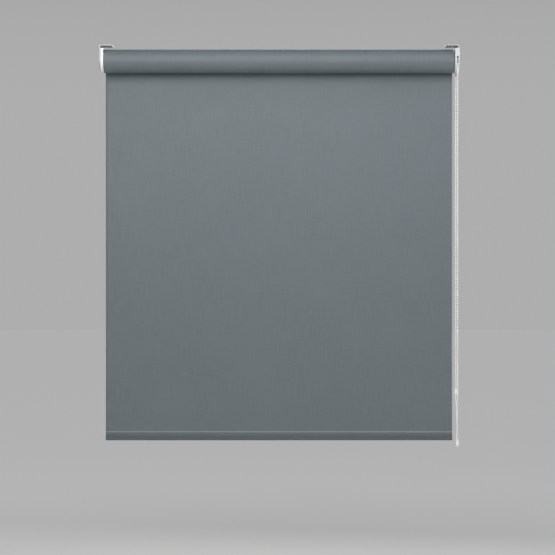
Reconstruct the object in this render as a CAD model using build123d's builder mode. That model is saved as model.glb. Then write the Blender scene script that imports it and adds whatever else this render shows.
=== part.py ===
from build123d import *
from math import atan, pi, sin, sqrt
import os

os.makedirs("parts", exist_ok=True)

# A chain-operated roller blind, in millimetres: +X towards the chain end, -Y towards the room, +Z up.
# The origin is the middle of the four fixing slots, on the plane that both brackets are screwed to.

# ---------------------------------------------------------------- driving dimensions
OVERALL_WIDTH = 1075.0  # across the outer faces of the two end covers
FABRIC_WIDTH = 1046.0
FABRIC_SHIFT = -1.2  # the idle end's hardware is the thinner, so the fabric sits nearer to it
AXIS_DROP = 46.0  # fixing plane down to the tube's axis
ROLL_DIAMETER = 71.0
FABRIC_THICKNESS = 0.6
BLIND_DROP = 1139.8  # tube's axis down to the hem's lower edge
HEM_HEIGHT = 28.2
HEM_DEPTH = 7.0

TUBE_DIAMETER = 50.0
TUBE_WALL = 1.6

BEAD_DIAMETER = 4.5
BEAD_PITCH = 6.0
CHAIN_CORD = 1.4
SPROCKET_BEADS = 28
CHAIN_BEADS = 400
CHAIN_INSET = 6.2  # outer face of the drive cover to the plane that the chain runs in
STRAIGHT_CHAIN = 1000.0  # tube's axis down to where the two strands begin to close up
CLOSING_HEIGHT = 60.0
GUIDE_RADIUS = 6.65  # of the chain's centreline round the hub of the safety device
GUIDE_Y = -8.0

STEEL = 2.0  # bracket plate
BRACKET_DEPTH = 56.0
FLANGE_LENGTH = 38.0
SLOT_X = 518.0
SLOT_Y = 15.0
SLOT_WIDTH = 5.0
SLOT_LENGTH = 10.0

COVER_WALL = 1.6
IDLE_COVER_DEPTH = 10.2
DRIVE_DEPTH = 13.9

PIN_DIAMETER = 8.0
CORE_DIAMETER = 20.0

# ---------------------------------------------------------------- what follows from them
AXIS_Z = -AXIS_DROP
OUTER_X = OVERALL_WIDTH / 2
FABRIC_LEFT = FABRIC_SHIFT - FABRIC_WIDTH / 2
FABRIC_RIGHT = FABRIC_SHIFT + FABRIC_WIDTH / 2
ROLL_RADIUS = ROLL_DIAMETER / 2
TUBE_RADIUS = TUBE_DIAMETER / 2
TUBE_BORE = TUBE_RADIUS - TUBE_WALL
PLUG_RADIUS = TUBE_BORE - 0.1
BRACKET_RADIUS = BRACKET_DEPTH / 2
COVER_INSIDE = ROLL_RADIUS - COVER_WALL
IDLE_PLATE_X = -OUTER_X
DRIVE_PLATE_X = OUTER_X - COVER_WALL - 0.15
CHAIN_X = OUTER_X - CHAIN_INSET
BEAD_RADIUS = BEAD_DIAMETER / 2
PITCH_RADIUS = SPROCKET_BEADS * BEAD_PITCH / (2 * pi)


def across(x, y=0.0, z=AXIS_Z):
    """The plane square to the tube at x. Its own x runs along +Y and its own y along +Z."""
    return Plane(origin=(x, y, z), x_dir=(0, 1, 0), z_dir=(1, 0, 0))


def disc(start, end, radius, hole=0.0, mode=Mode.ADD):
    """A disc or ring about the tube's axis, added to the part that is being built or cut from it."""
    with BuildSketch(across(start)) as ring:
        Circle(radius)
        if hole:
            Circle(hole, mode=Mode.SUBTRACT)
    extrude(ring.sketch, amount=end - start, mode=mode)


def end_outline(radius):
    """An end cover's outline, square at the top and round at the bottom, in the sketch being drawn."""
    Circle(radius)
    Rectangle(2 * radius, radius, align=(Align.CENTER, Align.MIN))


def end_shell(outer_face, depth, edge_radius):
    """An end cover: a shell with a rounded outer edge, open towards the roll."""
    outermost, inward = (0, 1) if outer_face < 0 else (-1, -1)
    with BuildPart() as hollow:
        with BuildSketch(across(outer_face + inward * COVER_WALL)):
            end_outline(COVER_INSIDE)
        extrude(amount=inward * depth)
        floor = hollow.faces().sort_by(Axis.X)[outermost]
        fillet(floor.edges().sort_by(Axis.Z)[:-1], edge_radius - COVER_WALL)
    with BuildPart() as shell:
        with BuildSketch(across(outer_face)):
            end_outline(ROLL_RADIUS)
        extrude(amount=inward * depth)
        face = shell.faces().sort_by(Axis.X)[outermost]
        fillet(face.edges().sort_by(Axis.Z)[:-1], edge_radius)
        add(hollow.part, mode=Mode.SUBTRACT)
    return shell.part


# ---------------------------------------------------------------- brackets
FLANGE_CORNER = 5.0
BEND_INSIDE = 1.5
PIN_SEAT = PIN_DIAMETER / 2 + 0.075
CORE_PINS = 3
CORE_PIN_RADIUS = 2.5
CORE_PIN_CIRCLE = 12.0
STUD_RADIUS = 2.0  # of the two studs that hold the idle end's cover on its bracket
STUD_PLACES = ((-17.0, 12.0), (17.0, 12.0))


def bracket(outer_face):
    """A pressed steel angle: a slotted flange under the head of the reveal, and a plate down to the tube."""
    inward = 1 if outer_face < 0 else -1
    plate_inside = outer_face + inward * STEEL
    flange_end = outer_face + inward * FLANGE_LENGTH
    lowest = AXIS_Z - BRACKET_RADIUS
    with BuildPart() as angle:
        with BuildSketch(Plane.XZ.offset(-BRACKET_RADIUS)):
            with BuildLine():
                Polyline(
                    (outer_face, 0),
                    (flange_end, 0),
                    (flange_end, -STEEL),
                    (plate_inside, -STEEL),
                    (plate_inside, lowest),
                    (outer_face, lowest),
                    close=True,
                )
            make_face()
        extrude(amount=BRACKET_DEPTH)
        bends = angle.edges().filter_by(Axis.Y)
        fillet(bends.sort_by_distance((plate_inside, 0, -STEEL))[0], BEND_INSIDE)
        outer_bend = angle.edges().filter_by(Axis.Y).sort_by_distance((outer_face, 0, 0))[0]
        fillet(outer_bend, BEND_INSIDE + STEEL / 2)
        flange_corners = angle.edges().filter_by(Axis.Z).sort_by_distance((flange_end, 0, 0))[:2]
        fillet(flange_corners, FLANGE_CORNER)
        # the plate's lower end is round about the tube's axis
        with BuildSketch(across(-OUTER_X)):
            Circle(BRACKET_RADIUS)
            Rectangle(BRACKET_DEPTH, AXIS_DROP, align=(Align.CENTER, Align.MIN))
        extrude(amount=OVERALL_WIDTH, mode=Mode.INTERSECT)
        with BuildSketch(Plane.XY):
            with Locations(*[(-inward * SLOT_X, y) for y in (-SLOT_Y, SLOT_Y)]):
                SlotOverall(SLOT_LENGTH, SLOT_WIDTH)
        extrude(amount=-STEEL, mode=Mode.SUBTRACT)
        if inward > 0:
            disc(outer_face, plate_inside, PIN_SEAT, mode=Mode.SUBTRACT)
            with BuildSketch(across(outer_face)):
                with Locations(*STUD_PLACES):
                    Circle(STUD_RADIUS + 0.1)
            extrude(amount=STEEL, mode=Mode.SUBTRACT)
        else:
            with BuildSketch(across(outer_face)):
                with PolarLocations(CORE_PIN_CIRCLE, CORE_PINS, start_angle=90):
                    Circle(CORE_PIN_RADIUS + 0.1)
            extrude(amount=-STEEL, mode=Mode.SUBTRACT)
    return angle


left_bracket = bracket(IDLE_PLATE_X)
left_bracket.part.label = "left_bracket"
export_step(left_bracket.part, "parts/left_bracket.step")

right_bracket = bracket(DRIVE_PLATE_X)
right_bracket.part.label = "right_bracket"
export_step(right_bracket.part, "parts/right_bracket.step")

# ---------------------------------------------------------------- idle end cover
IDLE_EDGE_RADIUS = 5.0
IDLE_COVER_HOLE = 5.0  # clears the pin
STUD_GAP = 0.1

idle_cover_x = IDLE_PLATE_X + STEEL + STUD_GAP

with BuildPart() as left_bracket_cover:
    add(end_shell(idle_cover_x, IDLE_COVER_DEPTH, IDLE_EDGE_RADIUS))
    disc(idle_cover_x, idle_cover_x + COVER_WALL, IDLE_COVER_HOLE, mode=Mode.SUBTRACT)
    # the studs that snap into the bracket's plate
    with BuildSketch(across(idle_cover_x)):
        with Locations(*STUD_PLACES):
            Circle(STUD_RADIUS)
    extrude(amount=-STEEL)
left_bracket_cover.part.label = "left_bracket_cover"
export_step(left_bracket_cover.part, "parts/left_bracket_cover.step")

# ---------------------------------------------------------------- drive end: housing and its chain guides
DRIVE_EDGE_RADIUS = 4.0
SLOT_ROOM = 0.3  # round the bracket's plate where it passes through the housing's top
TAB_REACH = 26.5  # from the axis to a snap tab's tip, over the plate's edge
TAB_HEIGHT = 4.0
TAB_THICKNESS = 1.5
CHANNEL = BEAD_DIAMETER + 0.6  # the square passage that a strand runs through
GUIDE_WALL = 0.75
GUIDE_TOP = 18.0  # below the axis
FRONT_GUIDE_END = 40.5
REAR_GUIDE_END = 38.5
WINDOW_TOP = 12.0  # above the axis
WINDOW_BOTTOM = 9.0  # below it
HOUSING_TAB_Z = 29.5

with BuildPart() as drive_housing:
    add(end_shell(OUTER_X, DRIVE_DEPTH, DRIVE_EDGE_RADIUS))
    # the slot in the top, for the bracket's plate
    with BuildSketch(Plane.XY.offset(AXIS_Z + ROLL_RADIUS)):
        with Locations((DRIVE_PLATE_X - STEEL / 2, 0)):
            Rectangle(STEEL + 2 * SLOT_ROOM, BRACKET_DEPTH + 2 * SLOT_ROOM)
    extrude(amount=-2 * COVER_WALL, mode=Mode.SUBTRACT)
    # the guides, a box round each strand, before the passages are cut through them
    for side, end in ((-1, FRONT_GUIDE_END), (1, REAR_GUIDE_END)):
        with BuildSketch(Plane.XY.offset(AXIS_Z - GUIDE_TOP)):
            with Locations((CHAIN_X, side * PITCH_RADIUS)):
                RectangleRounded(CHANNEL + 2 * GUIDE_WALL, CHANNEL + 2 * GUIDE_WALL, 1.2)
        extrude(amount=GUIDE_TOP - end)
    # what stands inside the rim above the guides is left, and the passages run right through
    with BuildSketch(Plane.XY.offset(AXIS_Z - WINDOW_BOTTOM)):
        with Locations(*[(CHAIN_X, side * PITCH_RADIUS) for side in (-1, 1)]):
            Rectangle(CHANNEL, CHANNEL)
    extrude(amount=-2 * ROLL_RADIUS, mode=Mode.SUBTRACT)
    # the gap between the guides, under the sprocket
    with BuildSketch(Plane.XY.offset(AXIS_Z - COVER_INSIDE / 2)):
        with Locations((CHAIN_X, 0)):
            Rectangle(CHANNEL, 2 * (PITCH_RADIUS - CHANNEL / 2 - GUIDE_WALL) + 0.02)
    extrude(amount=-ROLL_RADIUS, mode=Mode.SUBTRACT)
    # the window in the front, where the beads show
    with BuildSketch(Plane.XZ.offset(ROLL_RADIUS)):
        with Locations((CHAIN_X, AXIS_Z + (WINDOW_TOP - WINDOW_BOTTOM) / 2)):
            RectangleRounded(CHANNEL, WINDOW_TOP + WINDOW_BOTTOM, 2.0)
    extrude(amount=-2 * COVER_WALL, mode=Mode.SUBTRACT)
    # the tabs that snap over the bracket's plate
    with BuildSketch(across(DRIVE_PLATE_X - STEEL - SLOT_ROOM)):
        for side in (-1, 1):
            with Locations((side * (TAB_REACH + COVER_INSIDE) / 2, HOUSING_TAB_Z)):
                Rectangle(COVER_INSIDE - TAB_REACH + 1, TAB_HEIGHT)
    extrude(amount=-TAB_THICKNESS)
drive_housing.part.label = "drive_housing"
export_step(drive_housing.part, "parts/drive_housing.step")

# ---------------------------------------------------------------- drive end: guard that closes the housing
GUARD_FACE = OUTER_X - DRIVE_DEPTH + 0.2
GUARD_WALL = 1.6
GUARD_HOLE = 18.0
KEEPER_INSIDE = PITCH_RADIUS + BEAD_RADIUS + 0.9
KEEPER_WALL = 1.2
KEEPER_SPAN = 96.0  # degrees, over the top of the sprocket

with BuildPart() as chain_guard:
    with BuildSketch(across(GUARD_FACE)):
        end_outline(COVER_INSIDE - 0.2)
        Circle(GUARD_HOLE, mode=Mode.SUBTRACT)
    extrude(amount=GUARD_WALL)
    # the arc that keeps the beads in the sprocket's pockets
    with BuildSketch(across(GUARD_FACE + GUARD_WALL)):
        with BuildLine():
            keeper_in = CenterArc((0, 0), KEEPER_INSIDE, 90 - KEEPER_SPAN / 2, KEEPER_SPAN)
            keeper_out = CenterArc((0, 0), KEEPER_INSIDE + KEEPER_WALL, 90 - KEEPER_SPAN / 2, KEEPER_SPAN)
            Line(keeper_in @ 0, keeper_out @ 0)
            Line(keeper_in @ 1, keeper_out @ 1)
        make_face()
    extrude(amount=CHAIN_X + BEAD_RADIUS - GUARD_FACE - GUARD_WALL)
chain_guard.part.label = "chain_guard"
export_step(chain_guard.part, "parts/chain_guard.step")

# ---------------------------------------------------------------- drive end: the fixed core
CORE_RADIUS = CORE_DIAMETER / 2
CORE_DISC_RADIUS = 18.0
CORE_DISC = 1.5
CORE_END = 486.0
TIP_RADIUS = 7.9
TIP_END = 477.0
CLIP_GROOVE_X = 478.6
CLIP_GROOVE = 1.2
CLIP_GROOVE_RADIUS = 6.5
core_disc_x = DRIVE_PLATE_X - STEEL - CORE_DISC

with BuildPart() as clutch_core:
    disc(core_disc_x, core_disc_x + CORE_DISC, CORE_DISC_RADIUS)
    with BuildSketch(across(core_disc_x + CORE_DISC)):
        with PolarLocations(CORE_PIN_CIRCLE, CORE_PINS, start_angle=90):
            Circle(CORE_PIN_RADIUS)
    extrude(amount=STEEL - 0.1)
    disc(CORE_END, core_disc_x, CORE_RADIUS)
    disc(TIP_END, CORE_END, TIP_RADIUS)
    disc(CLIP_GROOVE_X, CLIP_GROOVE_X + CLIP_GROOVE, TIP_RADIUS + 1, CLIP_GROOVE_RADIUS, Mode.SUBTRACT)
    disc(TIP_END, DRIVE_PLATE_X, CORE_RADIUS / 2, mode=Mode.SUBTRACT)
clutch_core.part.label = "clutch_core"
export_step(clutch_core.part, "parts/clutch_core.step")

with BuildPart() as core_clip:
    disc(CLIP_GROOVE_X + 0.1, CLIP_GROOVE_X + CLIP_GROOVE - 0.1, TIP_RADIUS + 3, CLIP_GROOVE_RADIUS + 0.05)
    with BuildSketch(across(CLIP_GROOVE_X)):
        Rectangle(5.0, 2 * TUBE_RADIUS, align=(Align.CENTER, Align.MAX))
    extrude(amount=CLIP_GROOVE, mode=Mode.SUBTRACT)
core_clip.part.label = "core_clip"
export_step(core_clip.part, "parts/core_clip.step")

# ---------------------------------------------------------------- drive end: the sprocket
SPROCKET_FACE = 2.3  # half the toothed rim's width
SPROCKET_RADIUS = PITCH_RADIUS + 0.7
POCKET_RADIUS = BEAD_RADIUS + 0.15
CORD_GROOVE = 2.0
GROOVE_RADIUS = PITCH_RADIUS - 1.2
HUB_RADIUS = 17.0
HUB_END = 519.5
FINGER_INSIDE = 12.9
FINGER_OUTSIDE = 15.6
FINGER_END = 487.5
FINGER_GAP = 12.0  # width of the two gaps that the crown's ribs stand in

with BuildPart() as sprocket:
    disc(CHAIN_X - SPROCKET_FACE, CHAIN_X + SPROCKET_FACE - 0.1, SPROCKET_RADIUS)
    groove_start = CHAIN_X - CORD_GROOVE / 2
    disc(groove_start, groove_start + CORD_GROOVE, SPROCKET_RADIUS + 1, GROOVE_RADIUS, Mode.SUBTRACT)
    disc(HUB_END, CHAIN_X - SPROCKET_FACE, HUB_RADIUS)
    disc(FINGER_END, HUB_END, FINGER_OUTSIDE, FINGER_INSIDE)
    with BuildSketch(across(FINGER_END)):
        Rectangle(2 * HUB_RADIUS, FINGER_GAP)
    extrude(amount=HUB_END - FINGER_END - 6, mode=Mode.SUBTRACT)
    disc(core_disc_x - 0.25, OUTER_X, CORE_DISC_RADIUS + 0.5, mode=Mode.SUBTRACT)
    disc(HUB_END, OUTER_X, CORE_RADIUS + 0.1, mode=Mode.SUBTRACT)
    with Locations(across(CHAIN_X)):
        with PolarLocations(PITCH_RADIUS, SPROCKET_BEADS):
            Sphere(POCKET_RADIUS, mode=Mode.SUBTRACT)
sprocket.part.label = "sprocket"
export_step(sprocket.part, "parts/sprocket.step")

# ---------------------------------------------------------------- tube and what fixes the fabric to it
SPLINE_CENTRE = 22.1
SPLINE_CAVITY = 2.2
SPLINE_MOUTH = 2.6
BOSS_WIDTH = 8.4
BOSS_BOTTOM = 19.2

with BuildPart() as tube:
    with BuildSketch(across(FABRIC_LEFT)):
        Circle(TUBE_RADIUS)
        Circle(TUBE_BORE, mode=Mode.SUBTRACT)
        with Locations((0, BOSS_BOTTOM)):
            Rectangle(BOSS_WIDTH, TUBE_BORE + TUBE_WALL / 2 - BOSS_BOTTOM, align=(Align.CENTER, Align.MIN))
        with Locations((0, SPLINE_CENTRE)):
            Circle(SPLINE_CAVITY, mode=Mode.SUBTRACT)
            Rectangle(SPLINE_MOUTH, TUBE_RADIUS, align=(Align.CENTER, Align.MIN), mode=Mode.SUBTRACT)
    extrude(amount=FABRIC_WIDTH)
tube.part.label = "tube"
export_step(tube.part, "parts/tube.step")

with BuildPart() as fabric_spline:
    with BuildSketch(across(FABRIC_LEFT + 1)):
        with Locations((0, SPLINE_CENTRE)):
            Circle(SPLINE_CAVITY - 0.3)
    extrude(amount=FABRIC_WIDTH - 2)
fabric_spline.part.label = "fabric_spline"
export_step(fabric_spline.part, "parts/fabric_spline.step")

with BuildPart() as fabric_roll:
    disc(FABRIC_LEFT, FABRIC_RIGHT, ROLL_RADIUS, TUBE_RADIUS + 0.05)
fabric_roll.part.label = "fabric_roll"
export_step(fabric_roll.part, "parts/fabric_roll.step")

# ---------------------------------------------------------------- the two plugs in the tube
PLUG_FLANGE = 1.6
KEYWAY_WIDTH = BOSS_WIDTH + 0.8
KEYWAY_BOTTOM = BOSS_BOTTOM - 0.4


def keyway(start, end):
    """The notch in a plug that clears the tube's spline boss, cut from the part that is being built."""
    with BuildSketch(across(start)) as notch:
        with Locations((0, KEYWAY_BOTTOM)):
            Rectangle(KEYWAY_WIDTH, TUBE_RADIUS, align=(Align.CENTER, Align.MIN))
    extrude(notch.sketch, amount=end - start, mode=Mode.SUBTRACT)


CROWN_FLANGE = 1.5
CROWN_INSIDE = 20.6
CROWN_WALL_X = 480.4
CROWN_WALL = 3.0
RIB_WIDTH = 5.0
RIB_INSIDE = 13.2
RIB_END = 505.0

with BuildPart() as drive_crown:
    disc(FABRIC_RIGHT, FABRIC_RIGHT + CROWN_FLANGE, TUBE_RADIUS, HUB_RADIUS + 0.5)
    disc(CROWN_WALL_X, FABRIC_RIGHT, PLUG_RADIUS, CROWN_INSIDE)
    disc(CROWN_WALL_X, CROWN_WALL_X + CROWN_WALL, PLUG_RADIUS - 0.5, TIP_RADIUS + 0.1)
    keyway(CROWN_WALL_X, FABRIC_RIGHT)
    # a floor behind the keyway keeps the sleeve closed
    with BuildSketch(across(CROWN_WALL_X)):
        Circle(CROWN_INSIDE)
        with Locations((0, KEYWAY_BOTTOM - 1.8)):
            Rectangle(KEYWAY_WIDTH + 6, 1.8, align=(Align.CENTER, Align.MIN), mode=Mode.INTERSECT)
    extrude(amount=FABRIC_RIGHT - CROWN_WALL_X)
    # the ribs that the sprocket's fingers push round
    with BuildSketch(across(CROWN_WALL_X + CROWN_WALL / 2)):
        for side in (-1, 1):
            with Locations((side * (RIB_INSIDE + CROWN_INSIDE + 1) / 2, 0)):
                Rectangle(CROWN_INSIDE + 1 - RIB_INSIDE, RIB_WIDTH)
    extrude(amount=RIB_END - CROWN_WALL_X - CROWN_WALL / 2)
drive_crown.part.label = "drive_crown"
export_step(drive_crown.part, "parts/drive_crown.step")

PLUG_END = -486.0
SLEEVE_INSIDE = 21.0
BARREL_RADIUS = 9.0
BARREL_BORE = 6.1
BARREL_END = -490.0
PLUG_RIBS = 6
PLUG_RIB_WIDTH = 2.0

with BuildPart() as idle_plug:
    disc(FABRIC_LEFT - PLUG_FLANGE, FABRIC_LEFT, TUBE_RADIUS)
    disc(FABRIC_LEFT, PLUG_END, PLUG_RADIUS, SLEEVE_INSIDE)
    disc(FABRIC_LEFT, BARREL_END, BARREL_RADIUS)
    with BuildSketch(across(FABRIC_LEFT)):
        with PolarLocations((BARREL_RADIUS + SLEEVE_INSIDE) / 2, PLUG_RIBS):
            Rectangle(SLEEVE_INSIDE - BARREL_RADIUS + 1, PLUG_RIB_WIDTH)
    extrude(amount=BARREL_END - FABRIC_LEFT)
    disc(FABRIC_LEFT, BARREL_END, BARREL_BORE, mode=Mode.SUBTRACT)
    disc(FABRIC_LEFT - PLUG_FLANGE, FABRIC_LEFT, PIN_SEAT, mode=Mode.SUBTRACT)
    keyway(FABRIC_LEFT, PLUG_END)
idle_plug.part.label = "idle_plug"
export_step(idle_plug.part, "parts/idle_plug.step")

TAIL_RADIUS = 3.0
PLUG_CAP = 2.0
PLUG_CAP_SPIGOT = 3.0

with BuildPart() as idle_plug_cap:
    disc(BARREL_END, BARREL_END + PLUG_CAP, BARREL_RADIUS)
    disc(BARREL_END - PLUG_CAP_SPIGOT, BARREL_END, BARREL_BORE - 0.05)
    disc(BARREL_END - PLUG_CAP_SPIGOT, BARREL_END + PLUG_CAP, TAIL_RADIUS + 0.075, mode=Mode.SUBTRACT)
idle_plug_cap.part.label = "idle_plug_cap"
export_step(idle_plug_cap.part, "parts/idle_plug_cap.step")

# ---------------------------------------------------------------- the idle pin and its spring
PIN_TIP = IDLE_PLATE_X + 0.1
COLLAR_START = FABRIC_LEFT + 0.1
COLLAR = 3.6
COLLAR_RADIUS = BARREL_BORE - 0.1
TAIL_END = -484.5
PIN_CHAMFER = 0.8

with BuildPart() as idle_pin:
    disc(PIN_TIP, COLLAR_START, PIN_DIAMETER / 2)
    chamfer(idle_pin.edges().sort_by(Axis.X)[0], PIN_CHAMFER)
    disc(COLLAR_START, COLLAR_START + COLLAR, COLLAR_RADIUS)
    disc(COLLAR_START + COLLAR, TAIL_END, TAIL_RADIUS)
idle_pin.part.label = "idle_pin"
export_step(idle_pin.part, "parts/idle_pin.step")

PIN_SPRING_RADIUS = 4.5
PIN_SPRING_WIRE = 0.5
PIN_SPRING_COILS = 7
spring_start = COLLAR_START + COLLAR + PIN_SPRING_WIRE + 0.05
spring_end = BARREL_END - PLUG_CAP_SPIGOT - PIN_SPRING_WIRE - 0.05


def coil(start, end, turns, radius, wire):
    """A wire coil about the tube's axis, which begins at start on the +Z side."""
    length = end - start
    with BuildPart() as spring:
        with BuildLine(Plane.XY):
            helix = Helix(length / turns, length, radius, center=(start, 0, AXIS_Z), direction=(1, 0, 0))
        with BuildSketch(Plane(origin=helix @ 0, z_dir=helix % 0)):
            Circle(wire)
        sweep(path=helix, is_frenet=True)
    return spring


pin_spring = coil(spring_start, spring_end, PIN_SPRING_COILS, PIN_SPRING_RADIUS, PIN_SPRING_WIRE)
pin_spring.part.label = "pin_spring"
export_step(pin_spring.part, "parts/pin_spring.step")

# ---------------------------------------------------------------- the brake springs on the core
BRAKE_WIRE = 0.6
BRAKE_RADIUS = CORE_RADIUS + 0.25 + BRAKE_WIRE
BRAKE_TURNS = 4.9
BRAKE_PITCH = 1.35
BRAKE_STARTS = (488.4, 496.6)
brake_length = BRAKE_TURNS * BRAKE_PITCH

with BuildPart() as brake_springs:
    for start in BRAKE_STARTS:
        add(coil(start, start + brake_length, BRAKE_TURNS, BRAKE_RADIUS, BRAKE_WIRE).part)
brake_springs.part.label = "brake_springs"
export_step(brake_springs.part, "parts/brake_springs.step")

# ---------------------------------------------------------------- hanging fabric
FABRIC_GAP = 0.1  # between the hanging sheet and the roll's back
FABRIC_Y = ROLL_RADIUS + FABRIC_GAP + FABRIC_THICKNESS / 2
HEM_BOTTOM = AXIS_Z - BLIND_DROP
HEM_TOP = HEM_BOTTOM + HEM_HEIGHT
HEM_JOINT = 0.05

with BuildPart() as fabric_drop:
    with BuildSketch(across(FABRIC_LEFT, FABRIC_Y, HEM_TOP + HEM_JOINT)):
        Rectangle(FABRIC_THICKNESS, AXIS_Z - HEM_TOP - HEM_JOINT, align=(Align.CENTER, Align.MIN))
    extrude(amount=FABRIC_WIDTH)
fabric_drop.part.label = "fabric_drop"
export_step(fabric_drop.part, "parts/fabric_drop.step")

# ---------------------------------------------------------------- hem: welded pocket, its bar and end caps
WELD_HEIGHT = 6.6
POCKET_SHOULDER = 5.2  # height over which the pocket opens out under the weld
BAR_HEIGHT = 16.8
BAR_DEPTH = 5.0
BAR_WALL = 1.2
BAR_CORNER = 2.3
CAP_HEAD = 3.6
CAP_TONGUE = 14.0

pocket_low = HEM_DEPTH / 2  # height of the centre of the pocket's round bottom
pocket_high = HEM_HEIGHT - WELD_HEIGHT


def pocket_outline(half_depth, bottom, top):
    """The pocket's drop-shaped outline, round below and closed at the top, in the line being drawn."""
    shoulder = pocket_high - POCKET_SHOULDER
    base = ThreePointArc((-half_depth, pocket_low), (0, bottom), (half_depth, pocket_low))
    front = Line(base @ 0, (-half_depth, shoulder))
    back = Line(base @ 1, (half_depth, shoulder))
    Bezier(front @ 1, (-half_depth, shoulder + POCKET_SHOULDER / 2), (0, top - POCKET_SHOULDER / 3), (0, top))
    Bezier(back @ 1, (half_depth, shoulder + POCKET_SHOULDER / 2), (0, top - POCKET_SHOULDER / 3), (0, top))


with BuildPart() as hem_pocket:
    with BuildSketch(across(FABRIC_LEFT, FABRIC_Y, HEM_BOTTOM)):
        with BuildLine():
            pocket_outline(HEM_DEPTH / 2, 0, HEM_HEIGHT)
        make_face()
        with Locations((0, pocket_high - FABRIC_THICKNESS)):
            Rectangle(2 * FABRIC_THICKNESS, WELD_HEIGHT + FABRIC_THICKNESS, align=(Align.CENTER, Align.MIN))
        with BuildLine():
            pocket_outline(HEM_DEPTH / 2 - FABRIC_THICKNESS, FABRIC_THICKNESS, pocket_high - 0.8)
        make_face(mode=Mode.SUBTRACT)
    extrude(amount=FABRIC_WIDTH)
hem_pocket.part.label = "hem_pocket"
export_step(hem_pocket.part, "parts/hem_pocket.step")

bar_z = HEM_BOTTOM + FABRIC_THICKNESS + 0.2 + BAR_HEIGHT / 2
bar_left = FABRIC_LEFT + CAP_HEAD + 0.4
bar_right = FABRIC_RIGHT - CAP_HEAD - 0.4

with BuildPart() as bottom_bar:
    with BuildSketch(across(bar_left, FABRIC_Y, bar_z)):
        RectangleRounded(BAR_DEPTH, BAR_HEIGHT, BAR_CORNER)
        RectangleRounded(
            BAR_DEPTH - 2 * BAR_WALL, BAR_HEIGHT - 2 * BAR_WALL, BAR_CORNER - BAR_WALL, mode=Mode.SUBTRACT
        )
    extrude(amount=bar_right - bar_left)
bottom_bar.part.label = "bottom_bar"
export_step(bottom_bar.part, "parts/bottom_bar.step")


def bar_cap(bar_end, outward):
    """The plug in one end of the bottom bar."""
    with BuildPart() as cap:
        with BuildSketch(across(bar_end, FABRIC_Y, bar_z)):
            RectangleRounded(BAR_DEPTH, BAR_HEIGHT, BAR_CORNER)
        extrude(amount=outward * CAP_HEAD)
        fillet(cap.faces().sort_by(Axis.X)[-1 if outward > 0 else 0].edges(), 0.8)
        with BuildSketch(across(bar_end, FABRIC_Y, bar_z)):
            RectangleRounded(
                BAR_DEPTH - 2 * BAR_WALL - 0.2, BAR_HEIGHT - 2 * BAR_WALL - 0.2, BAR_CORNER - BAR_WALL - 0.1
            )
        extrude(amount=-outward * CAP_TONGUE)
    return cap


left_bar_cap = bar_cap(bar_left, -1)
left_bar_cap.part.label = "left_bar_cap"
export_step(left_bar_cap.part, "parts/left_bar_cap.step")

right_bar_cap = bar_cap(bar_right, 1)
right_bar_cap.part.label = "right_bar_cap"
export_step(right_bar_cap.part, "parts/right_bar_cap.step")

# ---------------------------------------------------------------- bead chain: the loop's line
front_offset = GUIDE_Y - GUIDE_RADIUS + PITCH_RADIUS
rear_offset = PITCH_RADIUS - GUIDE_Y - GUIDE_RADIUS


def closing_arc(offset):
    """Radius, turn in degrees and length of the two equal arcs that move a strand sideways by offset."""
    turn = 2 * atan(offset / CLOSING_HEIGHT)
    radius = CLOSING_HEIGHT / (2 * sin(turn))
    return radius, turn * 180 / pi, 2 * radius * turn


front_radius, front_turn, front_length = closing_arc(front_offset)
rear_radius, rear_turn, rear_length = closing_arc(rear_offset)
round_ends = pi * (PITCH_RADIUS + GUIDE_RADIUS)
# from the tube's axis to the middle of the bend round the hub, for a loop of a whole number of beads
chain_height = (
    CHAIN_BEADS * BEAD_PITCH - round_ends - front_length - rear_length + 2 * CLOSING_HEIGHT
) / 2
guide_z = AXIS_Z - chain_height
closing_z = AXIS_Z - STRAIGHT_CHAIN

with BuildLine(Plane(origin=(CHAIN_X, 0, 0), x_dir=(0, 1, 0), z_dir=(1, 0, 0))):
    over_sprocket = CenterArc((0, AXIS_Z), PITCH_RADIUS, 0, 180)
    front_strand = Line((-PITCH_RADIUS, AXIS_Z), (-PITCH_RADIUS, closing_z))
    front_in = JernArc((-PITCH_RADIUS, closing_z), (0, -1), front_radius, front_turn)
    front_out = JernArc(
        (-PITCH_RADIUS + front_offset / 2, closing_z - CLOSING_HEIGHT / 2),
        (sin(front_turn * pi / 180), -sqrt(1 - sin(front_turn * pi / 180) ** 2)),
        front_radius,
        -front_turn,
    )
    front_low = Line((GUIDE_Y - GUIDE_RADIUS, closing_z - CLOSING_HEIGHT), (GUIDE_Y - GUIDE_RADIUS, guide_z))
    round_hub = CenterArc((GUIDE_Y, guide_z), GUIDE_RADIUS, 180, 180)
    rear_low = Line((GUIDE_Y + GUIDE_RADIUS, guide_z), (GUIDE_Y + GUIDE_RADIUS, closing_z - CLOSING_HEIGHT))
    rear_in = JernArc((GUIDE_Y + GUIDE_RADIUS, closing_z - CLOSING_HEIGHT), (0, 1), rear_radius, -rear_turn)
    rear_out = JernArc(
        (PITCH_RADIUS - rear_offset / 2, closing_z - CLOSING_HEIGHT / 2),
        (sin(rear_turn * pi / 180), sqrt(1 - sin(rear_turn * pi / 180) ** 2)),
        rear_radius,
        rear_turn,
    )
    rear_strand = Line((PITCH_RADIUS, closing_z), (PITCH_RADIUS, AXIS_Z))
route = [
    over_sprocket, front_strand, front_in, front_out, front_low,
    round_hub, rear_low, rear_in, rear_out, rear_strand,
]
straights = (front_strand, front_low, rear_low, rear_strand)

# ---------------------------------------------------------------- bead chain: beads on one moulded cord
cord_radius = CHAIN_CORD / 2
bead_overlap = sqrt(BEAD_RADIUS**2 - cord_radius**2)  # from a bead's middle to where the cord enters it
PROFILE_MARGIN = 0.1


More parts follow.
